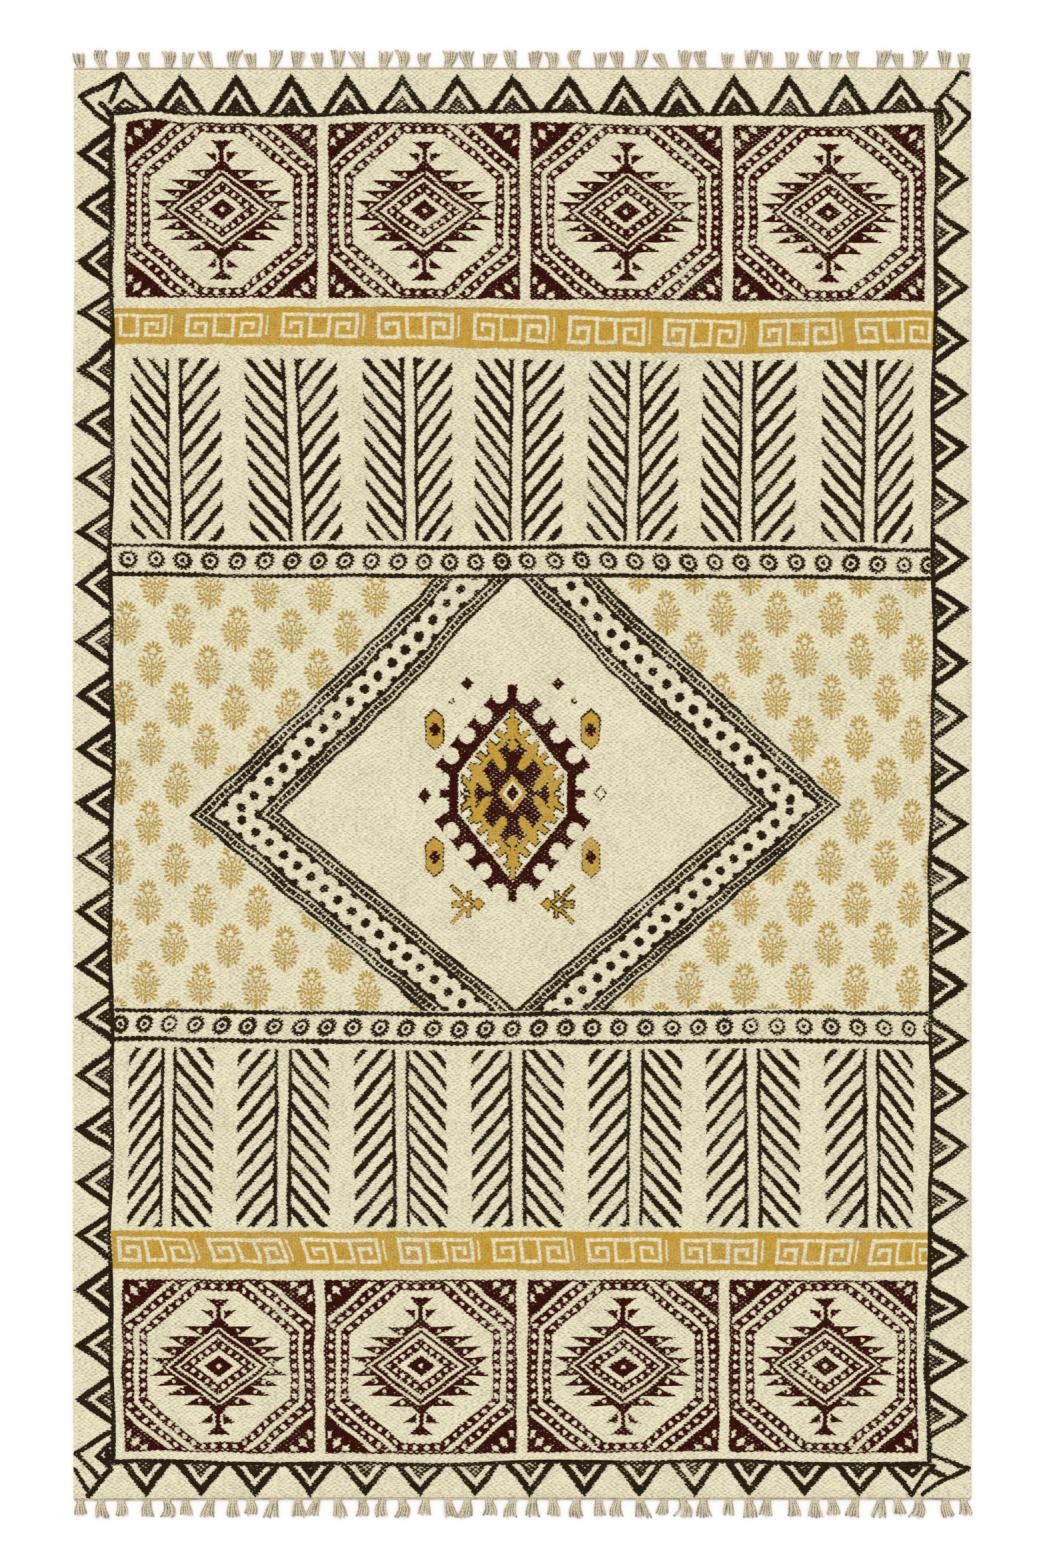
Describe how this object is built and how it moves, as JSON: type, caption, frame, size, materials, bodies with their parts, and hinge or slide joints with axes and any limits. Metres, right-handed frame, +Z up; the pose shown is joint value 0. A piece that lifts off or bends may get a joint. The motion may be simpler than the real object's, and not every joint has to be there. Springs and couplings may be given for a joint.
{
  "type": "block-printed flatweave rug",
  "caption": "Flat woven cotton rug printed with octagon tiles, key bands, tree rows and a central diamond field, with a knotted fringe along both ends; lies flat on a floor.",
  "frame": {"origin": "middle of the underside, which lies on the floor", "axes": "+X across the rug, +Y along its length towards the end shown at the top of the picture, +Z up out of the printed face"},
  "size_m": [1.524, 2.49, 0.0054],
  "materials": {
    "printed_cotton": "matte undyed cotton flatweave, block-printed in black, oxblood and mustard",
    "fringe_yarn": "matte undyed cotton warp yarn, knotted"
  },
  "bodies": {
    "root": {"woven_field": "printed_cotton", "fringe_top": "fringe_yarn", "fringe_bottom": "fringe_yarn"}
  },
  "joints": []
}
